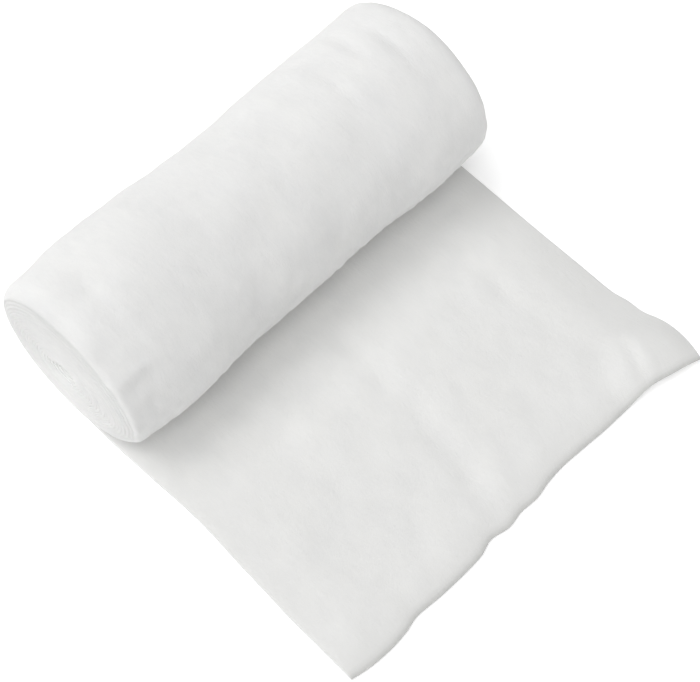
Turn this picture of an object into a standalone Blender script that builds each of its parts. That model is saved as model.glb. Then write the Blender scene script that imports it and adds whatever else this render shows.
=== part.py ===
"""Cast padding roll: one soft nonwoven strip wound into a roll, with its loose end drawn out flat.

The roll lies on its own strip. The strip leaves the underside of the roll and runs forward, along -Y,
over the surface that it lies on. X runs along the roll and Z is up.
The shapes below are worked out in millimetres about the seat, the point of the surface under the
middle of the roll. The last step moves both pieces so that the origin is the middle of the footprint.
"""

import math
from collections import namedtuple

import bmesh
import bpy
import numpy as np

MM = 0.001

# The strip. It is thin where the roll presses it and lofts up once it is free.
STRIP_WIDTH = 150.0
LOOSE_LENGTH = 120.0  # from the seat to the cut end
TUCK_BEHIND_SEAT = 9.0  # how far the strip runs on behind the seat, under the roll
PRESSED_THICKNESS = 1.5
LOFTED_THICKNESS = 2.6
EDGE_THICKNESS = 0.9
LOFT_FROM = 14.0  # in front of the seat, where the strip starts to loft
LOFT_TO = 42.0
SIDE_TAPER = 13.0  # width of the margin that thins towards a side edge
END_TAPER = 7.0  # the same at the cut end

# The roll. Its turns have slipped along a little, so it is longer than the strip is wide. Each end
# leans in at one place round it, given in degrees from the far side over the top, and out opposite.
ROLL_RADIUS = 30.6
LAYER_GAP = 0.3  # between the roll and the strip that it rests on
FLAT_HALF_WIDTH = 8.0
RIM_ROUNDING = 4.0
LEFT_SLIP = 0.6
RIGHT_SLIP = 1.2
LEFT_LEAN = 1.4
RIGHT_LEAN = 1.5
LEFT_LEANS_IN_AT = 130.0
RIGHT_LEANS_IN_AT = 29.0
LEAN_FROM = 40.0  # how far along the roll, from its middle, the lean starts
CORE_DIMPLE = 2.2  # depth of the hollow at the start of the winding
CORE_RADIUS = 4.5
TURN_BAND_PITCH = 8.8  # radial width of the bands of turns that stand proud or shy on an end
TURN_BAND_HEIGHT = 0.45

# Fineness of the faceted solids.
TURN_STEPS = 64
SIDE_SECTIONS = 30
END_RINGS = 9
RIM_STEPS = 3
STRIP_COLUMNS = 42
STRIP_ROWS = 36

HALF_WIDTH = 0.5 * STRIP_WIDTH
LEFT_END = -HALF_WIDTH - LEFT_SLIP
RIGHT_END = HALF_WIDTH + RIGHT_SLIP
FLAT_DEPTH = ROLL_RADIUS - math.sqrt(ROLL_RADIUS**2 - FLAT_HALF_WIDTH**2)
FLAT_LEVEL = PRESSED_THICKNESS + LAYER_GAP
AXIS_HEIGHT = FLAT_LEVEL + ROLL_RADIUS - FLAT_DEPTH

# The roll is not even along its length: it is waisted in the middle and full near both ends.
# "back" is what the radius gains towards the top of the far side, and "front" what it gains opposite.
Girth = namedtuple("Girth", "along back front")
GIRTHS = (
    Girth(along=-76, back=-0.6, front=-0.4),
    Girth(along=-66, back=-0.1, front=0.2),
    Girth(along=-51, back=1.2, front=1.7),
    Girth(along=-39, back=0.8, front=0.7),
    Girth(along=-27, back=0.1, front=-0.6),
    Girth(along=-5, back=-0.7, front=-0.5),
    Girth(along=15, back=-0.2, front=-0.7),
    Girth(along=35, back=0.2, front=-0.6),
    Girth(along=48, back=0.6, front=0.6),
    Girth(along=62, back=1.1, front=0.1),
    Girth(along=76, back=1.0, front=0.0),
)
FULLEST_BACK = 29.0  # degrees above the horizontal, on the far side

# Soft grooves that run part of the way round the roll, and the last one, a dent in its left rim.
Groove = namedtuple("Groove", "along middle_deg reach_deg half_width depth")
GROOVES = (
    Groove(along=52, middle_deg=68, reach_deg=26, half_width=2.6, depth=0.6),
    Groove(along=61, middle_deg=86, reach_deg=24, half_width=2.6, depth=0.6),
    Groove(along=38, middle_deg=96, reach_deg=22, half_width=3.0, depth=0.5),
    Groove(along=-60, middle_deg=92, reach_deg=30, half_width=3.4, depth=0.6),
    Groove(along=-69, middle_deg=129, reach_deg=17, half_width=5.0, depth=2.4),
)

# What each side edge of the strip gains on half the strip's width, at places in front of the seat.
Side = namedtuple("Side", "forward left right")
SIDES = (
    Side(forward=-9, left=0.2, right=0.4),
    Side(forward=12, left=0.2, right=1.0),
    Side(forward=30, left=-0.7, right=1.0),
    Side(forward=52, left=-1.9, right=0.9),
    Side(forward=73, left=-1.3, right=1.1),
    Side(forward=86, left=-1.0, right=1.2),
    Side(forward=92, left=-0.8, right=2.4),
    Side(forward=98, left=-0.8, right=2.6),
    Side(forward=104, left=-0.9, right=3.2),
    Side(forward=111, left=-0.9, right=3.8),
    Side(forward=117, left=-1.0, right=2.8),
    Side(forward=124, left=-1.0, right=1.0),
)

# What the cut end gains on the loose length, at places across the strip. It is uneven, as torn.
Cut = namedtuple("Cut", "across gain")
CUT_END = (
    Cut(across=-75, gain=-0.3),
    Cut(across=-68, gain=1.2),
    Cut(across=-59, gain=1.8),
    Cut(across=-52, gain=1.3),
    Cut(across=-47, gain=0.3),
    Cut(across=-36, gain=1.1),
    Cut(across=-20, gain=1.0),
    Cut(across=-14, gain=-0.5),
    Cut(across=-7, gain=0.8),
    Cut(across=-1, gain=0.0),
    Cut(across=6, gain=0.4),
    Cut(across=12, gain=-0.6),
    Cut(across=20, gain=-1.0),
    Cut(across=38, gain=0.2),
    Cut(across=58, gain=0.9),
    Cut(across=67, gain=2.8),
    Cut(across=78, gain=4.9),
)

# Folds of the loose end. Each runs from one place to another, bows sideways by "bow", and is a trough
# where its height is below zero and a ridge where it is above.
Fold = namedtuple("Fold", "across forward across_end forward_end bow half_width height")
FOLDS = (
    Fold(across=0, forward=36, across_end=-7, forward_end=112, bow=3.0, half_width=4.5, height=-0.75),
    Fold(across=20, forward=60, across_end=17, forward_end=104, bow=1.0, half_width=13.0, height=0.6),
    Fold(across=53, forward=46, across_end=53, forward_end=80, bow=-1.0, half_width=3.5, height=-0.6),
    Fold(across=-40, forward=52, across_end=-36, forward_end=70, bow=0.0, half_width=8.0, height=-0.4),
    Fold(across=-58, forward=62, across_end=-60, forward_end=104, bow=1.0, half_width=9.0, height=0.3),
    Fold(across=62.5, forward=106, across_end=60.5, forward_end=121, bow=0.0, half_width=2.4, height=-0.9),
)
FOLD_FADE = 8.0  # how far a fold runs on past its ends as it dies out

# The corner of the cut end that has curled up off the surface.
CORNER_ACROSS = 73.0
CORNER_FORWARD = 115.0
CORNER_HALF_WIDTH = 16.0
CORNER_HALF_LENGTH = 20.0
CORNER_LIFT = 3.4

PADDING_COLOUR = (0.86, 0.86, 0.85, 1.0)
PADDING_ROUGHNESS = 0.95


def smooth_step(value, start, end):
    """0 before start, 1 after end, and an S-curve between them."""
    share = min(1.0, max(0.0, (value - start) / (end - start)))
    return share * share * (3.0 - 2.0 * share)


def read_table(rows, place, column):
    """The column's value at a place, on a smooth curve through the rows (Catmull-Rom). The first
    column of a table is the place."""
    places = [row[0] for row in rows]
    values = [getattr(row, column) for row in rows]
    if place <= places[0]:
        return values[0]
    if place >= places[-1]:
        return values[-1]
    after = next(k for k, known in enumerate(places) if known > place)
    before = after - 1

    def slope(k):
        low, high = max(k - 1, 0), min(k + 1, len(rows) - 1)
        return (values[high] - values[low]) / (places[high] - places[low])

    gap = places[after] - places[before]
    t = (place - places[before]) / gap
    return (
        (2 * t**3 - 3 * t**2 + 1) * values[before]
        + (t**3 - 2 * t**2 + t) * gap * slope(before)
        + (3 * t**2 - 2 * t**3) * values[after]
        + (t**3 - t**2) * gap * slope(after)
    )


def bell(distance, half_width):
    """A soft hump: 1 in the middle and near 0 past about twice the half width."""
    return math.exp(-((distance / half_width) ** 2))


def padding_material(name):
    """White nonwoven padding, quite matt."""
    material = bpy.data.materials.new(name)
    material.use_nodes = True
    shader = material.node_tree.nodes["Principled BSDF"]
    shader.inputs["Base Color"].default_value = PADDING_COLOUR
    shader.inputs["Roughness"].default_value = PADDING_ROUGHNESS
    shader.inputs["Metallic"].default_value = 0.0
    return material


def end_profile(end, inward):
    """Points (along, radius) of one end of the roll, from its middle out over the rounded rim."""
    flat_radius = ROLL_RADIUS - RIM_ROUNDING
    points = [(end + inward * CORE_DIMPLE, 0.0)]
    for ring in range(1, END_RINGS + 1):
        radius = flat_radius * ring / END_RINGS
        points.append((end + inward * CORE_DIMPLE * bell(radius, CORE_RADIUS), radius))
    for step in range(1, RIM_STEPS + 1):
        angle = 0.5 * math.pi * step / RIM_STEPS
        along = end + inward * RIM_ROUNDING * (1.0 - math.cos(angle))
        points.append((along, flat_radius + RIM_ROUNDING * math.sin(angle)))
    return points


def roll_profile():
    """The roll's outline from the middle of its left end to the middle of its right end."""
    left = end_profile(LEFT_END, 1.0)
    right = end_profile(RIGHT_END, -1.0)
    start, stop = left[-1][0], right[-1][0]
    sections = [
        (start + (stop - start) * k / SIDE_SECTIONS, ROLL_RADIUS)
        for k in range(1, SIDE_SECTIONS)
    ]
    return left + sections + right[::-1]


def turned_roll(points):
    """The profile as a line of edges, turned about the X axis by a Screw modifier and made a mesh."""
    line = bpy.data.meshes.new("roll_profile")
    line.from_pydata(
        [(along * MM, 0.0, radius * MM) for along, radius in points],
        [(k, k + 1) for k in range(len(points) - 1)],
        [],
    )
    guide = bpy.data.objects.new("roll_profile", line)
    bpy.context.scene.collection.objects.link(guide)
    turn = guide.modifiers.new("Turn", "SCREW")
    turn.axis = "X"
    turn.steps = turn.render_steps = TURN_STEPS
    turn.use_merge_vertices = True
    turn.merge_threshold = 0.00005
    graph = bpy.context.evaluated_depsgraph_get()
    mesh = bpy.data.meshes.new_from_object(guide.evaluated_get(graph))
    bpy.data.objects.remove(guide)
    return mesh


def radius_factor(along, angle):
    """How full the roll is here, against its nominal radius. The angle is in degrees round the axis,
    from the far side over the top."""
    towards_back = 0.5 + 0.5 * math.cos(math.radians(angle - FULLEST_BACK))
    back = read_table(GIRTHS, along, "back")
    front = read_table(GIRTHS, along, "front")
    return 1.0 + (front + (back - front) * towards_back) / ROLL_RADIUS


def groove_depth(along, angle):
    """Depth of the grooves and of the rim's dent at a place on the roll's side."""
    depth = 0.0
    for groove in GROOVES:
        around = (angle - groove.middle_deg + 180.0) % 360.0 - 180.0
        here = bell(along - groove.along, groove.half_width)
        depth += groove.depth * here * bell(around, groove.reach_deg)
    return depth


def turn_bands(radius, angle):
    """How far the turns stand out of an end: a spiral of bands that fades out at the core and rim."""
    phase = radius / TURN_BAND_PITCH - angle / 360.0
    fade = smooth_step(radius, CORE_RADIUS, 2.0 * CORE_RADIUS)
    fade *= 1.0 - smooth_step(radius, ROLL_RADIUS - 2.0 * RIM_ROUNDING, ROLL_RADIUS - RIM_ROUNDING)
    return TURN_BAND_HEIGHT * math.sin(2.0 * math.pi * phase) * fade


def end_reach(along, radius, angle):
    """How much further out a place near an end of the roll stands, for the lean and the turns."""
    if along < 0.0:
        side, end, lean, leans_in_at = -1.0, LEFT_END, LEFT_LEAN, LEFT_LEANS_IN_AT
    else:
        side, end, lean, leans_in_at = 1.0, RIGHT_END, RIGHT_LEAN, RIGHT_LEANS_IN_AT
    reach = -lean * math.cos(math.radians(angle - leans_in_at)) * radius / ROLL_RADIUS
    reach *= smooth_step(abs(along), LEAN_FROM, abs(end))
    if abs(end - along) < 0.5 * RIM_ROUNDING:
        reach += turn_bands(radius, angle)
    return side * reach


def shaped_roll_point(point):
    """Moves a point of the turned roll to its uneven place, in millimetres about the seat."""
    along, across, height = (value / MM for value in point)
    radius = math.hypot(across, height)
    turn = math.atan2(height, across)
    angle = math.degrees(turn) % 360.0
    share = smooth_step(radius, 0.0, ROLL_RADIUS)
    new_radius = radius * radius_factor(along, angle) - groove_depth(along, angle) * share
    new_height = max(FLAT_LEVEL, AXIS_HEIGHT + new_radius * math.sin(turn))
    return along + end_reach(along, radius, angle), new_radius * math.cos(turn), new_height


def wound_roll():
    """The wound strip as one solid: its outer form, soft rims, grooves and the flat that it rests on."""
    mesh = turned_roll(roll_profile())
    mesh.name = "wound_roll"
    shape = bmesh.new()
    shape.from_mesh(mesh)
    bmesh.ops.remove_doubles(shape, verts=shape.verts, dist=0.00002)
    for vertex in shape.verts:
        vertex.co = [value * MM for value in shaped_roll_point(vertex.co)]
    bmesh.ops.recalc_face_normals(shape, faces=shape.faces)
    shape.to_mesh(mesh)
    shape.free()
    mesh.shade_smooth()
    roll = bpy.data.objects.new("wound_roll", mesh)
    roll.data.materials.append(padding_material("wound_padding"))
    return roll


def fold_height(across, forward):
    """Height that the folds add to the strip's upper face."""
    height = 0.0
    for fold in FOLDS:
        run_across = fold.across_end - fold.across
        run_forward = fold.forward_end - fold.forward
        length = math.hypot(run_across, run_forward)
        from_start = (across - fold.across, forward - fold.forward)
        along = (from_start[0] * run_across + from_start[1] * run_forward) / length
        aside = (from_start[0] * run_forward - from_start[1] * run_across) / length
        share = min(1.0, max(0.0, along / length))
        aside -= fold.bow * 4.0 * share * (1.0 - share)
        past_end = max(0.0, -along, along - length)
        height += fold.height * bell(aside, fold.half_width) * bell(past_end, FOLD_FADE)
    return height


def corner_lift(across, forward):
    """How far the curled corner's underside is off the surface."""
    aside = (across - CORNER_ACROSS) / CORNER_HALF_WIDTH
    ahead = (forward - CORNER_FORWARD) / CORNER_HALF_LENGTH
    near = max(0.0, 1.0 - aside * aside - ahead * ahead)
    return CORNER_LIFT * near * near * (3.0 - 2.0 * near)


def edge_share(inset, taper):
    """0 at an edge and 1 past its taper, as a quarter circle."""
    share = min(1.0, max(0.0, inset / taper))
    return math.sqrt(share * (2.0 - share))


def strip_thickness(across, forward, side_inset, end_inset):
    """Thickness of the strip: pressed under the roll, lofted in front of it, thin at its edges."""
    loft = smooth_step(forward, LOFT_FROM, LOFT_TO)
    full = PRESSED_THICKNESS + (LOFTED_THICKNESS - PRESSED_THICKNESS) * loft
    full += fold_height(across, forward) * loft
    fill = edge_share(side_inset, SIDE_TAPER) * edge_share(end_inset, END_TAPER)
    return EDGE_THICKNESS + (full - EDGE_THICKNESS) * fill


def closer_at_ends(share):
    """Moves even steps from 0 to 1 so that they lie closer at both ends, where the edges round off."""
    return share - 0.11 * math.sin(2.0 * math.pi * share)


def loose_end():
    """The drawn-out end of the strip: a grid laid on the surface and given its thickness by Solidify."""
    bpy.ops.mesh.primitive_grid_add(x_subdivisions=STRIP_COLUMNS, y_subdivisions=STRIP_ROWS, size=1.0)
    strip = bpy.context.object
    strip.name = "loose_end"
    thickest = LOFTED_THICKNESS + sum(max(0.0, fold.height) for fold in FOLDS)
    weights = strip.vertex_groups.new(name="thickness")
    for vertex in strip.data.vertices:
        column = closer_at_ends(vertex.co.x + 0.5)
        row = closer_at_ends(0.5 - vertex.co.y)
        nominal_forward = -TUCK_BEHIND_SEAT + row * (LOOSE_LENGTH + TUCK_BEHIND_SEAT)
        left = HALF_WIDTH + read_table(SIDES, nominal_forward, "left")
        right = HALF_WIDTH + read_table(SIDES, nominal_forward, "right")
        across = -left + column * (left + right)
        end = LOOSE_LENGTH + read_table(CUT_END, across, "gain")
        forward = -TUCK_BEHIND_SEAT + row * (end + TUCK_BEHIND_SEAT)
        thickness = strip_thickness(across, forward, min(across + left, right - across), end - forward)
        vertex.co = (across * MM, -forward * MM, corner_lift(across, forward) * MM)
        weights.add([vertex.index], thickness / thickest, "REPLACE")
    loft = strip.modifiers.new("Loft", "SOLIDIFY")
    loft.thickness = thickest * MM
    loft.offset = 1.0
    loft.vertex_group = weights.name
    strip.data.shade_smooth()
    strip.data.materials.append(padding_material("loose_padding"))
    return strip


def box_round(pieces):
    """The low and high corners of the box round the finished pieces, in metres."""
    graph = bpy.context.evaluated_depsgraph_get()
    corners = []
    for piece in pieces:
        mesh = piece.evaluated_get(graph).to_mesh()
        corners += [tuple(piece.matrix_world @ vertex.co) for vertex in mesh.vertices]
    places = np.array(corners)
    return places.min(axis=0), places.max(axis=0)


def main():
    for leftover in list(bpy.data.objects):
        bpy.data.objects.remove(leftover)
    padding = bpy.data.collections.new("cast_padding_roll")
    bpy.context.scene.collection.children.link(padding)
    strip = loose_end()
    for holder in list(strip.users_collection):
        holder.objects.unlink(strip)
    pieces = (wound_roll(), strip)
    for piece in pieces:
        padding.objects.link(piece)
    bpy.context.view_layer.update()
    low, high = box_round(pieces)
    seat = (-0.5 * (low[0] + high[0]), -0.5 * (low[1] + high[1]), 0.0)
    for piece in pieces:
        piece.location = seat
    print("the seat under the middle of the roll is at", [round(value, 6) for value in seat])


main()
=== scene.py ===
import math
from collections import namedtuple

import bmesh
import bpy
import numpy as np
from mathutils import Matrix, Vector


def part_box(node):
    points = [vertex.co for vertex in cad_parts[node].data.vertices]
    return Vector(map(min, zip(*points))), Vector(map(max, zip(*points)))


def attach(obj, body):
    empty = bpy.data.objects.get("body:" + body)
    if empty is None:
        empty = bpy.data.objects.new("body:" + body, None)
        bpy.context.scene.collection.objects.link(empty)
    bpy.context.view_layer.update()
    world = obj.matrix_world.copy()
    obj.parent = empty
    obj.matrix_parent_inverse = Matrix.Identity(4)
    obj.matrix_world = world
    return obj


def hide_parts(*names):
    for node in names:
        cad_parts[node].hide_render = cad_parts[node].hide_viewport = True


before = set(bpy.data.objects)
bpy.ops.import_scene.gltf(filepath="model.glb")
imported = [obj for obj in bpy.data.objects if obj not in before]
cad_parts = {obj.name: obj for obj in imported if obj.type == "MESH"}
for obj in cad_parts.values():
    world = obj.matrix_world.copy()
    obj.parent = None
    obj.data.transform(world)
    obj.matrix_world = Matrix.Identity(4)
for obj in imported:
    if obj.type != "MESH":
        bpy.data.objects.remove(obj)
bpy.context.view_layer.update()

# %% [markdown]
# # A roll of cast padding
# Cast padding is a soft white web of matted fibres, cut as a long strip and wound up. A person who
# puts on a cast unwinds it round the limb first. This script models one roll that lies on a table
# with its loose end drawn out flat towards the front.
#
# The whole object is one strip, so the script makes one strip. Its shape is a function of two
# numbers, how far along the strip a point is and how far across, and everything else follows.
# Sizes are worked out in millimetres about the seat, the point of the table under the middle of
# the roll, because a maker thinks in those, and they turn into metres at the end.

# %% The seat
MM = 0.001
STRIP_LEFT_REACH = 75.27  # the solid strip's reach to the left of the seat
STRIP_TUCK = 9.0  # and behind it
strip_low, strip_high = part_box("loose_end")
SEAT = Vector((strip_low.x + STRIP_LEFT_REACH * MM, strip_high.y - STRIP_TUCK * MM, 0.0))
print("the seat is at", [round(v, 4) for v in SEAT])


def add_to_scene(name, data):
    """An object that holds a mesh, a lamp or a camera, linked to the scene."""
    made = bpy.data.objects.new(name, data)
    bpy.context.scene.collection.objects.link(made)
    return made


# %% [markdown]
# ## Curves that the shapes are made of
# Soft goods have no sharp corners, so nearly every change of shape here runs through one of four
# soft curves: an S-curve, a hump, a parabola that levels off, and a smooth line through the rows of
# a short table. They take whole arrays, and so does everything that is made of them.

# %% Soft curves
def smooth_step(value, start, end):
    """0 before start, 1 after end, and an S-curve 3t^2 - 2t^3 between them."""
    share = np.clip((value - start) / (end - start), 0.0, 1.0)
    return share * share * (3.0 - 2.0 * share)


def bell(distance, half_width):
    """A soft hump, exp(-(d/w)^2): 1 in the middle and near 0 past twice the half width."""
    return np.exp(-((distance / half_width) ** 2))


def level_off(inset, reach):
    """0 at an edge and 1 at the reach inside it, on the parabola 2t - t^2, level at its top."""
    share = np.clip(inset / reach, 0.0, 1.0)
    return share * (2.0 - share)


def read_table(rows, place, column):
    """A table's column at places between its rows, on a cubic through the rows whose slope at each
    row is that of the line between its two neighbours. The first column is the place."""
    places = np.array([row[0] for row in rows], float)
    values = np.array([getattr(row, column) for row in rows], float)
    before = np.r_[0, np.arange(len(rows) - 1)]
    after = np.r_[np.arange(1, len(rows)), len(rows) - 1]
    slopes = (values[after] - values[before]) / (places[after] - places[before])
    place = np.clip(place, places[0], places[-1])
    k = np.clip(np.searchsorted(places, place, side="right") - 1, 0, len(rows) - 2)
    gap = places[k + 1] - places[k]
    t = (place - places[k]) / gap
    return (
        (2 * t**3 - 3 * t**2 + 1) * values[k]
        + (t**3 - 2 * t**2 + t) * gap * slopes[k]
        + (3 * t**2 - 2 * t**3) * values[k + 1]
        + (t**3 - t**2) * gap * slopes[k + 1]
    )


print("an S-curve at its quarters:", smooth_step(np.linspace(0.0, 1.0, 5), 0.0, 1.0).round(2))

# %% [markdown]
# ## Camera
# The camera stands in front of the roll, to its left, and looks steeply down, so that the roll
# runs from the lower left to the upper right and the loose end comes towards the lower corner.
# Its place and lens are those that lay the roll's ends and the strip's corners where they are in
# the photograph. An empty target and a track direction would do as well as the vector used here.

# %% Camera
EYE = Vector((-143.7, -189.9, 439.9))
AIM = Vector((2.7, -41.7, 0.0))
LENS = 77.47
SENSOR = 36.0
NEAREST_SEEN = 0.01  # metres

camera_data = bpy.data.cameras.new("camera")
camera_data.sensor_fit = "HORIZONTAL"
camera_data.sensor_width = SENSOR
camera_data.lens = LENS
camera_data.clip_start = NEAREST_SEEN
camera = add_to_scene("camera", camera_data)
camera.location = SEAT + EYE * MM
camera.rotation_euler = (AIM - EYE).to_track_quat("-Z", "Y").to_euler()
bpy.context.scene.camera = camera
print("camera at", [round(v, 4) for v in camera.location])

# %% [markdown]
# ## The winding
# Seen from its end, the strip is a spiral. It lies flat on the table up to the seat, turns up
# behind the roll, over the top and down the front, and slips in under itself, and so on inwards.
# The outer face of the strip is therefore the roll's surface, and the same face is the underside
# of the loose end. With each turn the radius falls by one layer, so that the radius after an angle
# is a straight line, and the length of strip in it a parabola, which can be turned round to give
# the angle at any length. More than two and a half metres go into this roll.
#
# Places round the roll are given in degrees from its back: 0 at the back, 90 on top, 180 at the
# front and 270 at the bottom. The winding angle starts there, at the seat, and is in radians.

# %% Winding sizes
TURN = 2.0 * math.pi
BOTTOM_DEG = 270.0
STRIP_WIDTH = 150.0
HALF_WIDTH = 0.5 * STRIP_WIDTH
LOOSE_LENGTH = 120.0
START_RADIUS = 31.2
LAYER_PITCH = 1.16
CORE_RADIUS = 2.2
AXIS_HEIGHT = 31.3
WOUND_ANGLE = TURN * (START_RADIUS - CORE_RADIUS) / LAYER_PITCH


def length_at(angle):
    """Length of strip wound in an angle: the radius falls evenly, so it is R*a - p*a^2/(4*pi)."""
    return START_RADIUS * angle - LAYER_PITCH * angle**2 / (2.0 * TURN)


def angle_at(length):
    """The winding angle at a length of strip past the seat: that equation solved for a."""
    inside = np.maximum(START_RADIUS**2 - LAYER_PITCH * length / math.pi, 0.0)
    return (START_RADIUS - np.sqrt(inside)) * TURN / LAYER_PITCH


WOUND_LENGTH = length_at(WOUND_ANGLE)
STRIP_LENGTH = LOOSE_LENGTH + WOUND_LENGTH

# %% [markdown]
# ## An uneven roll
# A hand-wound pad is never a true cylinder. This one is waisted in the middle and full near both
# ends. It could be sculpted by hand, but a short table says the same in numbers that can be read
# and changed: what the radius gains at places along the roll, on the far side and on the near side.

# %% Girth
Girth = namedtuple("Girth", "along back front")
GIRTHS = (
    Girth(along=-76, back=-0.6, front=-0.4),
    Girth(along=-66, back=-0.1, front=0.5),
    Girth(along=-51, back=1.2, front=1.5),
    Girth(along=-39, back=0.8, front=0.7),
    Girth(along=-27, back=0.1, front=-0.6),
    Girth(along=-5, back=-0.7, front=-0.5),
    Girth(along=15, back=-0.2, front=-0.7),
    Girth(along=35, back=0.2, front=-0.6),
    Girth(along=48, back=0.6, front=0.6),
    Girth(along=62, back=1.1, front=0.1),
    Girth(along=76, back=1.0, front=0.0),
)
FULLEST_BACK = 29.0  # the table's back values count fully at this angle
BACK_GAIN = -0.22  # for the whole far side, on top of its column
FRONT_GAIN = 0.35  # and for the near side
SEAT_BULGE = 0.7  # the web swells out next to the flat spot
SEAT_SPREAD = 28.0


def degrees_from(degrees, middle):
    """How far round the roll an angle is from a middle, from -180 to 180."""
    return (degrees - middle + 180.0) % 360.0 - 180.0


def girth(along, degrees):
    """What the radius gains from the table and the seat: the front's value goes over into the
    back's as a cosine round the roll, and a hump is added at the bottom."""
    towards_back = 0.5 + 0.5 * np.cos(np.radians(degrees - FULLEST_BACK))
    back = read_table(GIRTHS, along, "back") + BACK_GAIN
    front = read_table(GIRTHS, along, "front") + FRONT_GAIN
    gain = front + (back - front) * towards_back
    return gain + SEAT_BULGE * bell(degrees_from(degrees, BOTTOM_DEG), SEAT_SPREAD)


for place in (-51.0, -5.0, 62.0):
    print(f"at {place:.0f} mm along, the top gains {girth(place, 90.0):.2f} mm")

# %% [markdown]
# ## Grooves and lumps
# A few soft grooves run part of the way round, where the web was gathered as it was wound, and a
# few ridges stand between them. They are placed one by one, because they can be seen. The rest of
# the roll's unevenness has no pattern, so it is random relief in two sizes, and the smaller one is
# stronger on the front, whose outline is the bumpiest.

# %% Grooves
Groove = namedtuple("Groove", "along middle_deg reach_deg half_width depth")
GROOVES = (  # a negative depth is a ridge
    Groove(along=52, middle_deg=68, reach_deg=18, half_width=1.8, depth=0.75),
    Groove(along=61, middle_deg=86, reach_deg=18, half_width=1.8, depth=0.75),
    Groove(along=38, middle_deg=88, reach_deg=22, half_width=2.4, depth=0.6),
    Groove(along=-60, middle_deg=92, reach_deg=24, half_width=3.0, depth=0.6),
    Groove(along=-69.5, middle_deg=123, reach_deg=9, half_width=3.6, depth=1.3),
    Groove(along=0, middle_deg=109, reach_deg=18, half_width=90.0, depth=-0.8),
    Groove(along=-58, middle_deg=114, reach_deg=20, half_width=14.0, depth=-0.8),
    Groove(along=-60, middle_deg=166, reach_deg=20, half_width=13.0, depth=0.7),
    Groove(along=-64, middle_deg=138, reach_deg=3, half_width=8.0, depth=-0.5),
    Groove(along=-65, middle_deg=147, reach_deg=6, half_width=8.0, depth=0.8),
)


def groove_depth(along, degrees):
    """Depth of all grooves at a place: each is a hump across times a hump round the roll."""
    depth = 0.0
    for groove in GROOVES:
        across_groove = bell(along - groove.along, groove.half_width)
        round_roll = bell(degrees_from(degrees, groove.middle_deg), groove.reach_deg)
        depth = depth + groove.depth * across_groove * round_roll
    return depth


print(f"{len(GROOVES)} grooves and ridges; the left rim's dent is {groove_depth(-69.5, 123.0):.1f} mm deep")

# %% Relief
Relief = namedtuple("Relief", "height shortest longest seed")
SOFT_LUMPS = Relief(height=0.24, shortest=13.0, longest=34.0, seed=3)
FINE_LUMPS = Relief(height=0.07, shortest=3.6, longest=9.0, seed=4)
WAVES = 36
HANDLED_GAIN = 2.0  # how much stronger the fine lumps are on the front
HANDLED_MIDDLE = 185.0
HANDLED_SPREAD = 26.0


def wave_noise(x, y, z, relief):
    """Soft random relief with no grain: the sum of plane waves in random directions through space,
    each cos(2*pi*distance/length + start), scaled to about the relief's height."""
    random = np.random.default_rng(relief.seed)
    total = 0.0
    for _ in range(WAVES):
        way = random.normal(size=3)
        way /= np.linalg.norm(way)
        length = relief.shortest * (relief.longest / relief.shortest) ** random.random()
        distance = way[0] * x + way[1] * y + way[2] * z
        total = total + np.cos(TURN * distance / length + TURN * random.random())
    return relief.height * total / math.sqrt(WAVES)


def radius_gain(along, degrees):
    """What the radius gains at a place on the roll: girth and relief, less the grooves. The relief
    is read at the place's own point on a cylinder, so it runs through the whole roll."""
    y = START_RADIUS * np.cos(np.radians(degrees))
    z = START_RADIUS * np.sin(np.radians(degrees))
    handled = 1.0 + HANDLED_GAIN * bell(degrees_from(degrees, HANDLED_MIDDLE), HANDLED_SPREAD)
    gain = girth(along, degrees) - groove_depth(along, degrees)
    gain = gain + wave_noise(along, y, z, SOFT_LUMPS)
    return gain + handled * wave_noise(along, y, z, FINE_LUMPS)


top = radius_gain(np.linspace(-HALF_WIDTH, HALF_WIDTH, 151), 90.0)
print(f"the top of the roll gains from {top.min():.2f} to {top.max():.2f} mm along it")

# %% [markdown]
# ## Rims
# The outer turns bend inwards at both ends of the roll, because the web there has nothing to hold
# it out. How round each rim is changes on the way round it: the left one is tight at the front and
# wide on top. All of the unevenness acts on the outer turns fully, and less and less on the inner
# ones, so that the core is a plain spiral again. A Bevel modifier would round a rim evenly, and
# this one follows a table instead, as the girth does.

# %% Rims
Rim = namedtuple("Rim", "degrees left right")
RIMS = (
    Rim(degrees=0, left=4.0, right=5.0),
    Rim(degrees=45, left=6.0, right=6.0),
    Rim(degrees=85, left=6.5, right=4.5),
    Rim(degrees=115, left=5.0, right=4.0),
    Rim(degrees=138, left=2.2, right=3.8),
    Rim(degrees=165, left=1.4, right=4.0),
    Rim(degrees=192, left=2.2, right=4.2),
    Rim(degrees=215, left=5.0, right=4.2),
    Rim(degrees=270, left=4.0, right=3.6),
    Rim(degrees=360, left=4.0, right=5.0),
)
RIM_BEND = 0.88  # sine of the bend at the very edge


def rim_drop(inset, rounding):
    """How far the web bends in at a rim, r*(1 - sqrt(1 - s^2)). It follows a circle of radius r,
    and s, the sine of its bend, falls evenly from the edge to nothing at r inside it."""
    sine = RIM_BEND * np.clip(1.0 - inset / rounding, 0.0, 1.0)
    return rounding * (1.0 - np.sqrt(1.0 - sine * sine))


for side in ("left", "right"):
    drop = rim_drop(0.0, read_table(RIMS, 90.0, side))
    print(f"on top, the {side} rim bends in by {drop:.1f} mm")

# %% Outer face of the web
RIM_FULL_AT = 0.9  # radians past the seat, where the flat web has become a rim
INWARD_FADE = 1.5  # power of the radius with which the unevenness fades inwards
PRESSED = 1.1  # a layer's height in the stack of layers at the flat spot


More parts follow.
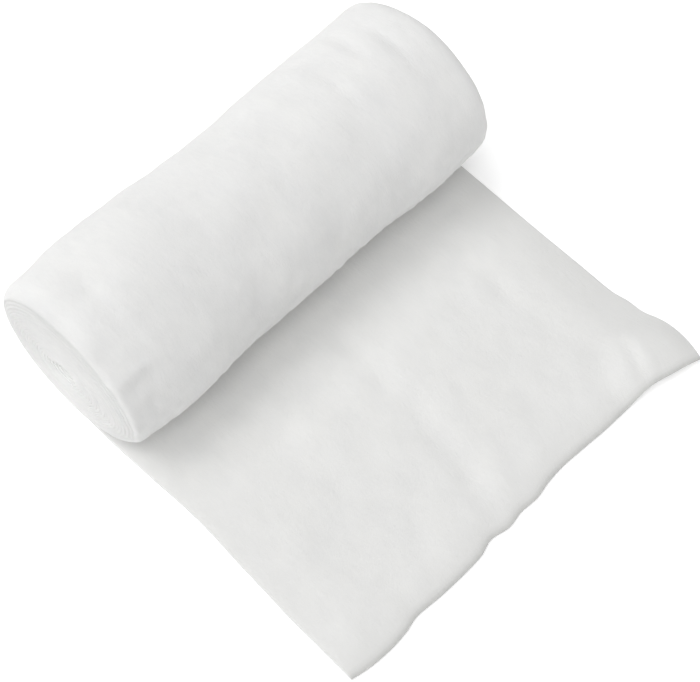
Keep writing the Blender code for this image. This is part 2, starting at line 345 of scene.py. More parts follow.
def outer_face(angle, along, left_inset, right_inset):
    """(y, z) of the web's outer face at a winding angle. The radius is that of the spiral plus
    the gain there, less the bend at the rims, and no layer lies lower than the stack under it."""
    degrees = BOTTOM_DEG + np.degrees(angle)
    radius = START_RADIUS - LAYER_PITCH * angle / TURN
    depth_share = np.clip(radius / START_RADIUS, 0.0, 1.0)
    rim_share = depth_share * smooth_step(angle, 0.0, RIM_FULL_AT)
    around = degrees % 360.0
    drop = rim_drop(left_inset, read_table(RIMS, around, "left"))
    drop = drop + rim_drop(right_inset, read_table(RIMS, around, "right"))
    radius = radius + radius_gain(along, degrees) * depth_share**INWARD_FADE - drop * rim_share
    turn = np.radians(degrees)
    stack = PRESSED * angle / TURN
    return radius * np.cos(turn), np.maximum(AXIS_HEIGHT + radius * np.sin(turn), stack)


back, front = (outer_face(share * TURN, 0.0, HALF_WIDTH, HALF_WIDTH)[0] for share in (0.25, 0.75))
print(f"the roll is {back - front:.1f} mm across, from back to front at its middle")

# %% [markdown]
# ## The ends of the roll
# Seen from the end, the edges of the turns make a spiral of soft lines. They are not quite flush:
# turns slip along a little as they are handled, the first turns at the core sit deeper, the whole
# end leans, and the outermost turns fall back in a soft shoulder. The slip is a sum of slow waves
# of the winding angle, so that neighbours stay close to each other.

# %% Edges of the wound strip
Lean = namedtuple("Lean", "slip lean towards_deg seed")
LEANS = {
    "left": Lean(slip=1.0, lean=1.4, towards_deg=130.0, seed=7),
    "right": Lean(slip=2.3, lean=1.5, towards_deg=29.0, seed=8),
}
CORE_DIMPLE = 2.4
CORE_SPREAD = 4.5
TURN_SLIP = 0.015
SLIP_RATES = (0.13, 0.29, 0.47, 0.71, 1.3, 2.2)  # waves in each turn of the strip
SHOULDER_FALL = 1.9  # how far the outermost edge sits back from the end's flat middle
SHOULDER_WIDTH = 8.0


def slip_waves(angle, seed):
    """Slow, uneven waves of the winding angle: a sum of cosines, of which some take several turns
    and some less than one."""
    random = np.random.default_rng(seed)
    total = 0.0
    for rate in SLIP_RATES:
        total = total + np.cos(angle * rate + TURN * random.random())
    return total


def wound_reach(angle, side):
    """How far a side edge of the wound strip is from the roll's middle: half the width and the
    slip, less the core's hump, a lean that goes as a cosine round the roll and fades to its core,
    and a shoulder that falls as a parabola over the outer turns."""
    end = LEANS[side]
    radius = START_RADIUS - LAYER_PITCH * angle / TURN
    tilt = np.cos(angle + np.radians(BOTTOM_DEG - end.towards_deg))
    shoulder = np.clip(1.0 - (START_RADIUS - radius) / SHOULDER_WIDTH, 0.0, 1.0)
    reach = HALF_WIDTH + end.slip - CORE_DIMPLE * bell(radius, CORE_SPREAD)
    reach = reach - end.lean * tilt * radius / START_RADIUS
    reach = reach + TURN_SLIP * slip_waves(angle, end.seed)
    return reach - SHOULDER_FALL * shoulder**2


for side in LEANS:
    edges = wound_reach(np.linspace(0.0, WOUND_ANGLE, 2001), side)
    print(f"the {side} end lies {edges.min():.1f} to {edges.max():.1f} mm from the middle")

# %% [markdown]
# ## The outline of the loose end
# The last 120 mm lie free, and their sides follow a table of their own: nearly straight on the
# left, and on the right with a corner that flares out. The cut end is not straight, because such a
# web is torn across. Both are short tables, read along a smooth line.

# %% Sides of the loose end
EDGE_SETTLES = 45.0  # past the seat, the loose end's edge has become that of the roll
Side = namedtuple("Side", "forward left right")
SIDES = (
    Side(forward=-9, left=0.2, right=0.4),
    Side(forward=12, left=0.2, right=1.0),
    Side(forward=30, left=-0.7, right=1.0),
    Side(forward=52, left=-1.9, right=0.9),
    Side(forward=73, left=-1.3, right=1.1),
    Side(forward=86, left=-1.0, right=1.2),
    Side(forward=91, left=-0.8, right=2.3),
    Side(forward=97, left=-0.8, right=2.8),
    Side(forward=101, left=-0.8, right=4.3),
    Side(forward=105, left=-0.9, right=5.2),
    Side(forward=111, left=-0.9, right=5.1),
    Side(forward=117, left=-1.0, right=3.8),
    Side(forward=124, left=-1.0, right=1.4),
)


def edge_reach(distance, angle, side):
    """How far a side edge of the strip is from the seat's middle, at a distance past the seat: the
    table's line on the loose end, which an S-curve leads over into the wound edge."""
    loose = HALF_WIDTH + read_table(SIDES, -distance, side)
    return loose + (wound_reach(angle, side) - loose) * smooth_step(distance, 0.0, EDGE_SETTLES)


for side in LEANS:
    print(f"the {side} edge reaches {edge_reach(-105.0, 0.0, side):.1f} mm by the cut end")

# %% Cut end
Cut = namedtuple("Cut", "across gain")
CUT_END = (
    Cut(across=-75, gain=-0.3),
    Cut(across=-68, gain=1.2),
    Cut(across=-59, gain=1.8),
    Cut(across=-52, gain=1.3),
    Cut(across=-47, gain=0.3),
    Cut(across=-36, gain=1.1),
    Cut(across=-20, gain=1.0),
    Cut(across=-14, gain=-0.5),
    Cut(across=-7, gain=0.8),
    Cut(across=-1, gain=0.0),
    Cut(across=6, gain=0.4),
    Cut(across=12, gain=-0.6),
    Cut(across=20, gain=-1.0),
    Cut(across=38, gain=0.2),
    Cut(across=58, gain=0.9),
    Cut(across=67, gain=3.1),
    Cut(across=78, gain=5.7),
)


def lay_forward(distance, across):
    """How far in front of the seat a point of the loose end lies, and how far the cut end is there.
    Lengths are stretched by end/length, so that the last of them reach the wavy end."""
    end = LOOSE_LENGTH + read_table(CUT_END, across, "gain")
    return np.maximum(-distance, 0.0) * end / LOOSE_LENGTH, end


print(f"the cut end's middle is {lay_forward(-LOOSE_LENGTH, 0.0)[0]:.1f} mm in front of the seat")

# %% [markdown]
# ## Folds and thickness of the loose end
# Pressed thin where the roll sits on it, the web lofts up to more than twice that as it comes out,
# and thins again to its edges. It holds a long shallow trough down its middle and a few dents. A
# corner has curled up off the table, behind a short pleat. A cloth simulation could drape it, but
# such a web lies where it is put, so its few forms are laid out one by one instead.

# %% Folds
Fold = namedtuple("Fold", "across forward across_end forward_end bow half_width height")
FOLDS = (
    Fold(across=0, forward=40, across_end=-8, forward_end=114, bow=3.0, half_width=4.2, height=-0.8),
    Fold(across=9, forward=60, across_end=0, forward_end=108, bow=3.0, half_width=5.5, height=0.45),
    Fold(across=21, forward=60, across_end=17, forward_end=104, bow=1.0, half_width=11.0, height=0.6),
    Fold(across=51, forward=60, across_end=51, forward_end=82, bow=-1.0, half_width=3.6, height=-0.45),
    Fold(across=-40, forward=52, across_end=-36, forward_end=70, bow=0.0, half_width=7.0, height=-0.5),
    Fold(across=-58, forward=62, across_end=-60, forward_end=104, bow=1.0, half_width=9.0, height=0.4),
    Fold(across=63.5, forward=72, across_end=64.5, forward_end=104, bow=0.0, half_width=4.0, height=0.25),
    Fold(across=61.5, forward=110, across_end=57.5, forward_end=120, bow=0.0, half_width=1.7, height=-0.9),
    Fold(across=65.5, forward=111, across_end=61.5, forward_end=120, bow=0.0, half_width=1.8, height=0.45),
)
FOLD_FADE = 8.0


def fold_height(across, forward):
    """Height of the folds: each is a hump or trough along a line, which bows aside by the parabola
    4*bow*s*(1 - s), and another hump fades it past both ends."""
    height = 0.0
    for fold in FOLDS:
        run = np.array([fold.across_end - fold.across, fold.forward_end - fold.forward])
        length = np.hypot(*run)
        run = run / length
        along = (across - fold.across) * run[0] + (forward - fold.forward) * run[1]
        aside = (across - fold.across) * run[1] - (forward - fold.forward) * run[0]
        share = np.clip(along / length, 0.0, 1.0)
        aside = aside - fold.bow * 4.0 * share * (1.0 - share)
        past_end = np.maximum(0.0, np.maximum(-along, along - length))
        height = height + fold.height * bell(aside, fold.half_width) * bell(past_end, FOLD_FADE)
    return height


print(len(FOLDS), "folds; the trough in the middle is", round(-fold_height(-1.0, 77.0), 2), "mm deep")

# %% Curled corner
CORNER_ACROSS = 65.0
CORNER_FORWARD = 118.0
CORNER_HALF_WIDTH = 18.0
CORNER_HALF_LENGTH = 20.0
CORNER_LIFT = 3.0


def corner_lift(across, forward):
    """How far the curled corner is off the table: an S-curve of 1 - a^2 - b^2, where a and b are
    the shares of the way from the middle of an oval to its edge."""
    aside = (across - CORNER_ACROSS) / CORNER_HALF_WIDTH
    ahead = (forward - CORNER_FORWARD) / CORNER_HALF_LENGTH
    return CORNER_LIFT * smooth_step(1.0 - aside**2 - ahead**2, 0.0, 1.0)


print("the torn edge curls up by", round(corner_lift(70.0, 121.0), 2), "mm near the corner")

# %% Thickness
LAYER_FILL = 0.985  # how much of the pitch from layer to layer the web fills
LOFTED = 2.9
LOFT_FROM = 14.0
LOFT_TO = 42.0
EDGE_THICKNESS = 0.9
LEFT_TAPER = 13.0
RIGHT_TAPER = 27.0
END_TAPER = 12.0
LOOSE_LUMPS = Relief(height=0.26, shortest=10.0, longest=30.0, seed=11)
FINE_LOOSE_LUMPS = Relief(height=0.05, shortest=3.5, longest=7.0, seed=12)


def edge_share(left_inset, right_inset, end_inset):
    """How full the free web is, from 1 in its middle to 0 at its edges. It is rounded off to the
    left as a quarter circle, and thins as a parabola to the right and to the cut end."""
    left = np.sqrt(level_off(left_inset, LEFT_TAPER))
    return left * level_off(right_inset, RIGHT_TAPER) * level_off(end_inset, END_TAPER)


def loose_thickness(across, forward, left_inset, right_inset, end_inset):
    """Thickness of the free web: pressed at first, then lofted with its folds and a soft relief,
    and down to the edges' thickness by the share there."""
    loft = smooth_step(forward, LOFT_FROM, LOFT_TO)
    full = LAYER_FILL * PRESSED + (LOFTED - LAYER_FILL * PRESSED) * loft
    relief = wave_noise(across, forward, 0.0, LOOSE_LUMPS)
    relief = relief + wave_noise(across, forward, 0.0, FINE_LOOSE_LUMPS)
    full = full + (fold_height(across, forward) + relief) * loft
    return EDGE_THICKNESS + (full - EDGE_THICKNESS) * edge_share(left_inset, right_inset, end_inset)


for place in (5.0, 30.0, 90.0):
    thick = loose_thickness(-20.0, place, HALF_WIDTH, HALF_WIDTH, LOOSE_LENGTH - place)
    print(f"{place:.0f} mm in front of the seat the web is {thick:.1f} mm thick")

# %% [markdown]
# ## Rings round the strip
# A cross-section of the strip is a thin, round-edged slot shape. Such a ring is carried along the
# strip from the cut end to the core. The rings are close together, with many points, where the web
# shows, and sparse in the inner turns, of which only the edges can be seen. A plane with a Solidify
# modifier would do for a web of even thickness, which this one doesn't have.

# %% Ring shape
EDGE_ROUNDING = 0.1
FINE_STEP = 1.4
FINE_INSETS = (0.0, 0.03, 0.1, 0.7, 1.5, 2.5, 3.8)
COARSE_STEP = 18.3
COARSE_INSETS = (0.0, 0.03, 0.1, 1.0, 3.0, 8.0, 20.0)


def section(insets, middle_step):
    """A ring's points as arrays: v across from -1 to 1, and h through the web from the outer face
    at -1 to the inner at 1. Near an edge, h follows a half circle."""
    insets = np.array(insets)
    gaps = int(round((STRIP_WIDTH - 2 * insets[-1]) / middle_step))
    middle = np.linspace(insets[-1], STRIP_WIDTH - insets[-1], gaps + 1)[1:-1]
    across = np.r_[insets, middle, STRIP_WIDTH - insets[::-1]]
    v = across / HALF_WIDTH - 1.0
    h = np.sqrt(level_off(np.minimum(across, STRIP_WIDTH - across), EDGE_ROUNDING))
    return np.r_[v, v[-2:0:-1]], np.r_[-h, h[-2:0:-1]]


fine_v, fine_h = section(FINE_INSETS, FINE_STEP)
coarse_v, coarse_h = section(COARSE_INSETS, COARSE_STEP)
print("a fine ring has", len(fine_v), "points and a coarse one", len(coarse_v))

# %% [markdown]
# ## The surface of the strip
# One function gives every point of the strip, from the distance along it and the place in a ring.
# On the roll, the outer face is the spiral's, and the inner face lies just short of the next layer
# in, so that the turns are close but never cut through each other. On the loose end the outer face
# lies on the table, apart from the curled corner, and the inner face is a thickness above it.

# %% Places across the strip
def lay_across(distance, v):
    """Where v lies on the roll at a distance past the seat: the winding angle there, the place
    along the roll, which is the middle of both edges plus v half widths, and how far it is from
    the left and right edges."""
    distance, v = distance[:, None], v[None, :]
    angle = angle_at(np.maximum(distance, 0.0))
    left = edge_reach(distance, angle, "left")
    right = edge_reach(distance, angle, "right")
    width = left + right
    along = 0.5 * (right - left) + 0.5 * v * width
    return angle, along, 0.5 * (1.0 + v) * width, 0.5 * (1.0 - v) * width


def next_layer(distance, v):
    """(y, z) of the layer one turn further in, straight between the few points across that the
    inner turns have, so that this layer's inner face follows that layer's real surface."""
    few = coarse_v[: len(coarse_v) // 2 + 1]
    angle, along, left_inset, right_inset = lay_across(distance, few)
    y, z = outer_face(angle + TURN, along, left_inset, right_inset)
    shares = np.stack([np.interp(v, few, unit) for unit in np.eye(len(few))])
    return y @ shares, z @ shares


seat_edges = lay_across(np.array([0.0]), np.array([-1.0, 1.0]))[1][0]
print("over the seat the strip's edges lie at", seat_edges.round(1))

# %% Points of the strip
FLATTEST_END = 0.199  # share of the thickness that is left at the cut end itself


def strip_points(distance, v, h):
    """Points of the strip in millimetres about the seat. distance is past the seat along the strip,
    and below zero on the loose end. v and h are a place in the ring, and a point lies (1 + h)/2 of
    the way from the outer to the inner face."""
    angle, along, left_inset, right_inset = lay_across(distance, v)
    y, z = outer_face(angle, along, left_inset, right_inset)
    y_next, z_next = next_layer(distance, v)
    distance, h = distance[:, None], h[None, :]
    y_in, z_in = y + LAYER_FILL * (y_next - y), z + LAYER_FILL * (z_next - z)

    forward, end = lay_forward(distance, along)
    thickness = loose_thickness(along, forward, left_inset, right_inset, end - forward)
    lift = corner_lift(along, forward)
    loose = distance < 0.0
    y, z = np.where(loose, -forward, y), np.where(loose, lift, z)
    y_in, z_in = np.where(loose, -forward, y_in), np.where(loose, lift + thickness, z_in)
    round_end = np.sqrt(level_off(end - forward, EDGE_ROUNDING))
    h = h * np.where(loose, np.maximum(round_end, FLATTEST_END), 1.0)
    inner = 0.5 + 0.5 * h
    return np.stack([along, y + inner * (y_in - y), z + inner * (z_in - z)], axis=-1)


outer, inner = strip_points(np.array([-60.0]), np.array([0.0, 0.0]), np.array([-1.0, 1.0]))[0]
print("half way out, the middle of the strip is", round(inner[2] - outer[2], 2), "mm thick")

# %% Fullness and painted shade
SINGLE_LAYER_AND_SHADE = 0.35  # how much a single layer is greyed, partly for its thin web and partly as painted shade
TORN_END_SHADE = 1.3  # and how much the torn end is darkened, as painted shade on a face turned from the light
TORN_SHADE_REACH = 2.3


def fullness_and_shade(distance, v):
    """How much web lies behind a point, for the finish, and where painted shade darkens it: 1 on the
    roll, less on the single layer of the loose end, partly as painted shade, 0 at its thin sides,
    which greys them partly for thin web and partly as painted shade, most on the right margin, and
    below 0 at the torn end, all of it painted shade on a face turned away from the light."""
    _, along, left_inset, right_inset = lay_across(distance, v)
    forward, end = lay_forward(distance[:, None], along)
    # partly painted shade: the single layer and its thin sides are greyed, partly for their thin web
    single = 1.0 - SINGLE_LAYER_AND_SHADE * smooth_step(forward, LOFT_FROM, LOFT_TO)
    full = single * edge_share(left_inset, right_inset, end - forward)
    # painted shade: the torn end is darkened as its face, turned away from the light, would be shaded
    full = full - TORN_END_SHADE * (1.0 - smooth_step(end - forward, 0.0, TORN_SHADE_REACH))
    return 1.0 + (full - 1.0) * smooth_step(forward, 0.0, LOFT_FROM)


print("fullness half way out:", fullness_and_shade(np.array([-60.0]), np.array([-1.0, 0.0, 1.0])).round(2))

# %% Laying the strip out
FINE_TURNS = 1.04  # the fine rings end just past the first turn, where the roll hides the join
COARSE_ROWS_PER_TURN = 48
END_INSETS = (0.0, 0.05, 0.2, 0.45, 0.9, 1.5)
fine_length = length_at(FINE_TURNS * TURN)
fine_rows = int((LOOSE_LENGTH + fine_length) / FINE_STEP)
fine_distance = np.r_[
    -LOOSE_LENGTH + np.array(END_INSETS[:-1]),
    np.linspace(-LOOSE_LENGTH + END_INSETS[-1], fine_length, fine_rows),
]
coarse_rows = int(WOUND_ANGLE / TURN * COARSE_ROWS_PER_TURN)
coarse_distance = length_at(np.linspace(FINE_TURNS * TURN, WOUND_ANGLE, coarse_rows)[1:])
fine_points = strip_points(fine_distance, fine_v, fine_h)
coarse_points = strip_points(coarse_distance, coarse_v, coarse_h)
print("fine rings", fine_points.shape, "coarse rings", coarse_points.shape)

# %% [markdown]
# ## One closed skin
# Quads join each ring to the next. Where the fine rings meet the coarse ones, under the roll, a
# band of triangles sews them together, and a cap closes each end of the strip. The skin has no
# open edge, so light can go into the web and come out again, and the strip can be measured.

# %% Faces between rings
def ring_quads(rows, ring, first):
    """Quads between following rings, closed round: each joins a point and its neighbour to the same
    two points of the next ring."""
    row, k = np.meshgrid(np.arange(rows - 1), np.arange(ring), indexing="ij")
    here, there = first + row * ring, first + (row + 1) * ring
    beside = (k + 1) % ring
    return np.stack([here + k, there + k, there + beside, here + beside], axis=-1).reshape(-1, 4)


def cap_faces(ring, first, flip):
    """Faces that close an end of the strip, from the outer face's points to the inner's: quads,
    with a triangle at either edge."""
    k = np.arange(1, ring // 2 - 1)
    quads = first + np.stack([k, k + 1, ring - k - 1, ring - k], axis=-1)
    corners = first + np.array([[0, 1, ring - 1], [ring // 2, ring // 2 + 1, ring // 2 - 1]])
    faces = quads.tolist() + corners.tolist()
    return [face[::-1] for face in faces] if flip else faces


fine_ring, coarse_ring = len(fine_v), len(coarse_v)
fine_count = fine_points.shape[0] * fine_ring
points = np.r_[fine_points.reshape(-1, 3), coarse_points.reshape(-1, 3)]
quads = np.r_[
    ring_quads(fine_points.shape[0], fine_ring, 0),
    ring_quads(coarse_points.shape[0], coarse_ring, fine_count),
]
caps = cap_faces(fine_ring, 0, flip=True)
caps += cap_faces(coarse_ring, len(points) - coarse_ring, flip=False)
print(len(points), "points,", len(quads), "quads and", len(caps), "faces in the caps")

# %% Sewn band
def way_round(v):
    """The way round a ring: 0 at the left edge, 2 at the right after the outer face, and up to 4."""
    half = len(v) // 2
    return np.r_[v[: half + 1] + 1.0, 3.0 - v[half + 1 :]]


def sewn_band(fine_v, fine_first, coarse_v, coarse_first):
    """Triangles between a ring of many points and one of few. Each fine point is tied to the coarse
    point that is nearest to it on the way round."""
    fine_way, coarse_way = way_round(fine_v), way_round(coarse_v)
    middles = 0.5 * (coarse_way + np.r_[coarse_way[1:], 4.0])
    to = np.searchsorted(middles, fine_way, side="right")
    n, m = len(fine_way), len(coarse_way)
    k = np.arange(n)
    to_next = np.r_[to[1:], to[0] + m]
    fans = np.stack([fine_first + k, coarse_first + to % m, fine_first + (k + 1) % n], axis=-1)
    steps = to_next > to
    k, to, to_next = k[steps], to[steps], to_next[steps]
    links = np.stack(
        [fine_first + (k + 1) % n, coarse_first + to % m, coarse_first + to_next % m], axis=-1
    )
    return np.r_[fans, links]


band = sewn_band(fine_v, fine_count - fine_ring, coarse_v, fine_count)
print(len(band), "triangles in the band that sews the rings together")

# %% Mesh, map, and fullness with painted shade
def mesh_of(name, points, faces):
    """A mesh from points in metres and lists of their numbers."""
    mesh = bpy.data.meshes.new(name)
    mesh.from_pydata(points, [], faces)
    return mesh


strip_faces = quads.tolist() + band.tolist() + caps
strip_mesh = mesh_of("padding_strip", points * MM + np.array(SEAT), strip_faces)
strip_mesh.shade_smooth()

# the map holds how far across and along the strip a point is, in metres
across_along = np.concatenate(
    [
        np.stack(np.broadcast_arrays(v[None, :] * HALF_WIDTH, distance[:, None]), axis=-1).reshape(-1, 2)
        for v, distance in ((fine_v, fine_distance), (coarse_v, coarse_distance))
    ]
)
web_map = strip_mesh.uv_layers.new(name="web")
corner_points = np.empty(len(strip_mesh.loops), dtype=np.int32)
strip_mesh.loops.foreach_get("vertex_index", corner_points)
web_map.data.foreach_set("uv", (across_along[corner_points] * MM).astype(np.float32).ravel())
# the fullness greys the finish, partly for thin web and partly as painted shade
full_web_and_shade = np.ones(len(points), dtype=np.float32)
full_web_and_shade[:fine_count] = fullness_and_shade(fine_distance, fine_v).ravel()
strip_mesh.attributes.new("fullness_and_shade", "FLOAT", "POINT").data.foreach_set("value", full_web_and_shade)
strip = add_to_scene("padding_strip", strip_mesh)
strip_mesh.calc_loop_triangles()
print(len(strip_mesh.loop_triangles), "triangles")

# %% Is the skin closed?
CUBIC_CENTIMETRE = 1e-6
check = bmesh.new()
check.from_mesh(strip_mesh)
open_edges = sum(1 for e in check.edges if not e.is_manifold)
volume = check.calc_volume(signed=True) / CUBIC_CENTIMETRE
print(f"{open_edges} open or doubled edges; the web takes up {volume:.0f} cubic centimetres")
check.free()

# %% [markdown]
# ## A way to write materials
# A node tree is a sum of small steps, and reads best as one. The class below wraps an output of a
# node, so that a line such as 0.9 + 0.1 * fibres adds the Math nodes it needs. Every other node
# comes from its one method, which sets the node up first and then fills or links its inputs.

# %% Shader sockets
class Socket:
    """An output of a node in a tree. +, - and * with numbers or other sockets, in either order, add
    Math nodes."""

    def __init__(self, tree, output=None):
        self.tree, self.output = tree, output

    def add(self, kind, settings, values, out=0):
        """A new node with its settings, and then a number, a colour or a socket for each input."""
        node = self.tree.nodes.new(kind)
        for name, setting in settings.items():
            setattr(node, name, setting)
        for name, value in values.items():
            if isinstance(value, Socket):
                self.tree.links.new(value.output, node.inputs[name])
            else:
                node.inputs[name].default_value = value
        return Socket(self.tree, node.outputs[out])

    def maths(self, operation, first, second):
        """A Math node on two numbers or sockets."""
        return self.add("ShaderNodeMath", {"operation": operation}, {0: first, 1: second})

    def __add__(self, other):
        return self.maths("ADD", self, other)

    def __sub__(self, other):
        return self.maths("SUBTRACT", self, other)

    def __rsub__(self, other):
        return self.maths("SUBTRACT", other, self)

    def __mul__(self, other):
        return self.maths("MULTIPLY", self, other)

    __radd__ = __add__
    __rmul__ = __mul__


# %% [markdown]
# ## Matted white fibres
# The web is made of fine white fibres that mostly run along the strip, laid thick in one place and
# thin in the next and needled together. So the finish has three scales: clouds of a centimetre,
# where more or less light comes back out of the web, streaks where fibres lie together, and the
# matted fibres themselves, which mostly roughen the surface. All are noises in the strip's own map,
# across and along it in metres, so that they follow it round every turn. The streaks are noise
# drawn out along the strip, twice, crossing at a small angle as the fibres do. Light goes a few
# millimetres into the web before it comes out, which is why its shades are so soft.

# %% Padding web
def shader_material(name, constants):
    """A material whose shader has these constants set on its own sockets."""
    made = bpy.data.materials.new(name)
    made.use_nodes = True
    for socket, value in constants.items():
        made.node_tree.nodes["Principled BSDF"].inputs[socket].default_value = value
    return made


web_finish = {
    "Specular IOR Level": 0.2,
    "Subsurface Weight": 0.35,
    "Subsurface Radius": (1.0, 1.0, 1.0),
    "Subsurface Scale": 3.0 * MM,
}
material = shader_material("padding_web", web_finish)
strip.data.materials.append(material)
tree = Socket(material.node_tree)
web_place = tree.add("ShaderNodeUVMap", {"uv_map": "web"}, {})
across = tree.add("ShaderNodeSeparateXYZ", {}, {"Vector": web_place}, "X")
along = tree.add("ShaderNodeSeparateXYZ", {}, {"Vector": web_place}, "Y")
print("the shader's constants:", web_finish)

# %% Fibre noises
Patches = namedtuple("Patches", "turn_deg wide long detail layer")
CLOUDS = Patches(turn_deg=0.0, wide=11.0, long=16.0, detail=3.0, layer=1.7)
STREAKS = Patches(turn_deg=9.0, wide=0.8, long=9.0, detail=2.0, layer=4.3)
CROSSING_STREAKS = Patches(turn_deg=-12.0, wide=0.8, long=9.0, detail=2.0, layer=7.9)
MATTED = Patches(turn_deg=25.0, wide=0.35, long=0.9, detail=2.0, layer=11.1)
NOISE_ROUGHNESS = 0.6
NOISE_DISTORTION = 0.4


def web_noise(patches):
    """Noise from 0 to 1 with patches as wide and long as given, in millimetres, in the map turned
    by an angle. Each layer is another cut through the same three-dimensional noise."""
    turn = math.radians(patches.turn_deg)
    aside = (across * math.cos(turn) + along * math.sin(turn)) * (1.0 / (patches.wide * MM))
    ahead = (along * math.cos(turn) - across * math.sin(turn)) * (1.0 / (patches.long * MM))
    place = tree.add("ShaderNodeCombineXYZ", {}, {"X": aside, "Y": ahead, "Z": patches.layer})
    values = {
        "Vector": place,
        "Scale": 1.0,
        "Detail": patches.detail,
        "Roughness": NOISE_ROUGHNESS,
        "Distortion": NOISE_DISTORTION,
    }
    return tree.add("ShaderNodeTexNoise", {"noise_dimensions": "3D"}, values)


clouds = web_noise(CLOUDS)
streaks = 0.5 * (web_noise(STREAKS) + web_noise(CROSSING_STREAKS))
matted = web_noise(MATTED)
print(len(material.node_tree.nodes), "nodes make the noises")

# %% [markdown]
# ## From fibres to colour
# Where the web is thick it is white with a hint of cream, where it is thin it is greyer and cooler,
# and where it is bare and torn it is greyer still. How thick it is comes from the noises, and how
# bare from the fullness that the mesh carries at every point. That greying is partly the thin web's
# own and partly painted shade: the single layer of the loose end and its right margin are greyed
# for the shade that falls there, and the torn end is painted dark as the shade of a face turned away
# from the light. That share isn't clamped, because the torn end lies below its range and should be
# darker than the thin sides.

# %% Colour of the web
THIN_WEB = (0.768, 0.770, 0.768, 1.0)
THICK_WEB = (0.838, 0.836, 0.822, 1.0)
# the grey of bare web, used also as painted shade on the single layer, its sides and the torn end
BARE_AND_SHADED_WEB = (0.69, 0.69, 0.68, 1.0)
USUAL_THICKNESS = 0.52  # the share of thick web where all the noises are at their middle
THICKER_BY_CLOUDS = 1.2
THICKER_BY_STREAKS = 1.0
THICKER_BY_MATTING = 0.5


def mix_colours(share, first, second, clamp):
    """The first colour where the share is 0 and the second where it is 1. Sockets 6 and 7 of a Mix
    node are its colours, and output 2 is the mixed one."""
    settings = {"data_type": "RGBA", "clamp_factor": clamp}
    return tree.add("ShaderNodeMix", settings, {0: share, 6: first, 7: second}, 2)


thickness = USUAL_THICKNESS + THICKER_BY_CLOUDS * (clouds - 0.5)
thickness = thickness + THICKER_BY_STREAKS * (streaks - 0.5) + THICKER_BY_MATTING * (matted - 0.5)
matted_colour = mix_colours(thickness, THIN_WEB, THICK_WEB, clamp=True)
# the fullness greys the web, partly as painted shade on the loose end, its sides and its torn end
full = tree.add("ShaderNodeAttribute", {"attribute_name": "fullness_and_shade"}, {}, "Fac")
colour = mix_colours(full, BARE_AND_SHADED_WEB, matted_colour, clamp=False)
print("the web's colours run from", THIN_WEB[:3], "to", THICK_WEB[:3])

# %% Roughness and bump
MATT = 0.97
SMOOTHER_STREAKS = 0.12  # fibres that lie together are a little less rough
BUMP_BY_MATTING = 0.5  # the bump's height, next to that of the streaks
BUMP_BY_CLOUDS = 0.6
BUMP_STRENGTH = 0.4
BUMP_DISTANCE = 0.3

roughness = MATT - SMOOTHER_STREAKS * streaks
height = streaks + BUMP_BY_MATTING * matted + BUMP_BY_CLOUDS * clouds
bump = tree.add(
    "ShaderNodeBump",
    {},
    {"Height": height, "Strength": BUMP_STRENGTH, "Distance": BUMP_DISTANCE * MM},
)
shader = material.node_tree.nodes["Principled BSDF"]
for name, value in {"Base Color": colour, "Roughness": roughness, "Normal": bump}.items():
    material.node_tree.links.new(value.output, shader.inputs[name])
print(len(material.node_tree.nodes), "nodes in the padding material")

# %% [markdown]
# ## Table
# The photograph was taken on pure white, where the table and the space behind it can't be told
# apart. A very large pale sheet just under the strip gives that, and a little light of its own
# keeps it white right up to the soft shadow of the roll.

# %% Floor
WHITE = (1.0, 1.0, 1.0, 1.0)
PALE = (0.95, 0.95, 0.95, 1.0)
FLOOR_GLOW = 0.2
FLOOR_DROP = 0.3
FLOOR_REACH = 60000.0
corners = FLOOR_REACH * np.array([(-1, -1), (1, -1), (1, 1), (-1, 1)])
floor_points = np.c_[corners, np.full(4, -FLOOR_DROP)]
floor = add_to_scene("floor", mesh_of("floor", floor_points * MM, [(0, 1, 2, 3)]))
floor_finish = {
    "Base Color": PALE,
    "Roughness": 0.9,
    "Emission Color": WHITE,
    "Emission Strength": FLOOR_GLOW,
}
floor.data.materials.append(shader_material("pale_floor", floor_finish))
print(f"the floor reaches {FLOOR_REACH * MM:.0f} m each way, {FLOOR_DROP} mm under the strip")

# %% [markdown]
# ## Backdrop
# A level view looks past the far edge of any table. A low white wall, far away all round, takes
# over there. It glows by itself, like a lit studio wall, and is black otherwise, so that no lamp
# adds to it. It is kept low, because all that it shows above the horizon also lights the roll.

# %% Wall all round
WALL_RADIUS = 50000.0
WALL_HEIGHT = 2200.0
WALL_POINTS = 64
BLACK = (0.0, 0.0, 0.0, 1.0)
around = np.linspace(0.0, TURN, WALL_POINTS, endpoint=False)
ring = WALL_RADIUS * np.stack([np.cos(around), np.sin(around)], axis=-1)
foot = np.c_[ring, np.full(WALL_POINTS, -FLOOR_DROP)]
top = np.c_[ring, np.full(WALL_POINTS, WALL_HEIGHT)]
here = np.arange(WALL_POINTS)
beside = (here + 1) % WALL_POINTS
wall_faces = np.stack([beside, here, here + WALL_POINTS, beside + WALL_POINTS], axis=-1)
wall_mesh = mesh_of("backdrop", np.r_[foot, top] * MM, wall_faces.tolist())
backdrop = add_to_scene("backdrop", wall_mesh)
wall_finish = {
    "Base Color": BLACK,
    "Specular IOR Level": 0.0,
    "Emission Color": WHITE,
    "Emission Strength": 1.0,
}
backdrop.data.materials.append(shader_material("white_backdrop", wall_finish))
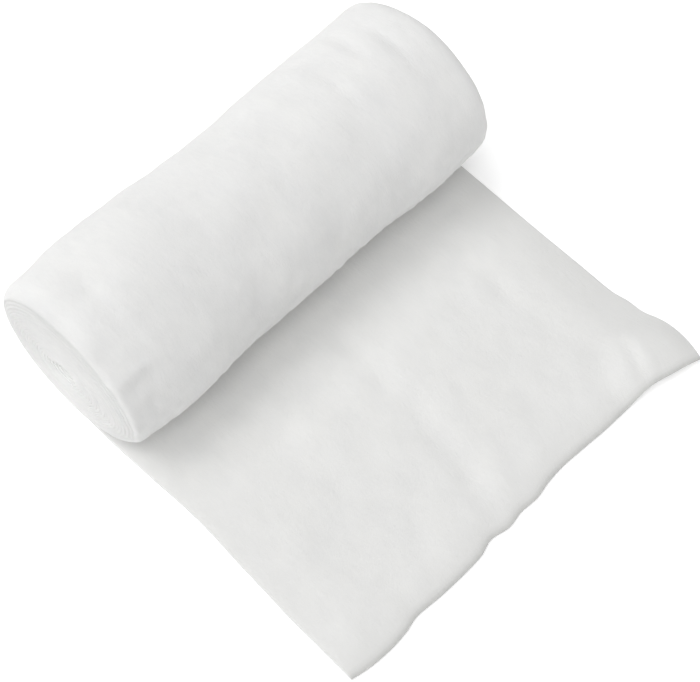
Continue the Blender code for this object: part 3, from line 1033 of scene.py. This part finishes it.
print(f"the wall has {len(wall_faces)} faces and is {WALL_HEIGHT * MM} m high")

# %% [markdown]
# ## Light
# The crown of the roll, turned up and away, is its brightest part and its front is in soft shade,
# so the light is large, high and behind, with a weaker one in front. Two low lights graze along the
# table: the one behind gives the loose end its shade beside the roll, and the one at the left lights
# the spiral end and brings out the folds. A sun with a wide disc stands for each big soft lamp.

# %% Lights
WORLD_STRENGTH = 0.36
world = bpy.data.worlds.new("studio")
world.use_nodes = True
world.node_tree.nodes["Background"].inputs["Color"].default_value = WHITE
world.node_tree.nodes["Background"].inputs["Strength"].default_value = WORLD_STRENGTH
bpy.context.scene.world = world
bpy.context.scene.view_settings.view_transform = "Standard"

Lamp = namedtuple("Lamp", "name azimuth elevation strength")
LAMPS = (  # the azimuth is 0 at the front, 180 behind and 270 at the left
    Lamp(name="key_behind_left", azimuth=225, elevation=68, strength=1.15),
    Lamp(name="fill_front_left", azimuth=315, elevation=68, strength=0.97),
    Lamp(name="low_light_behind", azimuth=180, elevation=22, strength=0.42),
    Lamp(name="low_light_left", azimuth=270, elevation=22, strength=0.2),
)
LAMP_SOFTNESS = 30.0
for lamp in LAMPS:
    turn, rise = math.radians(lamp.azimuth), math.radians(lamp.elevation)
    level = math.cos(rise)
    towards = Vector((math.sin(turn) * level, -math.cos(turn) * level, math.sin(rise)))
    lamp_data = bpy.data.lights.new(lamp.name, "SUN")
    lamp_data.energy = lamp.strength
    lamp_data.angle = math.radians(LAMP_SOFTNESS)
    lamp_object = add_to_scene(lamp.name, lamp_data)
    lamp_object.location = SEAT + towards
    lamp_object.rotation_euler = towards.to_track_quat("Z", "Y").to_euler()
    print(lamp.name, "shines from", [round(v, 2) for v in towards])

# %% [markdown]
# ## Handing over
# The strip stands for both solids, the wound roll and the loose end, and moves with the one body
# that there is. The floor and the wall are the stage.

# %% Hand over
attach(strip, "root")
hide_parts("wound_roll", "loose_end")
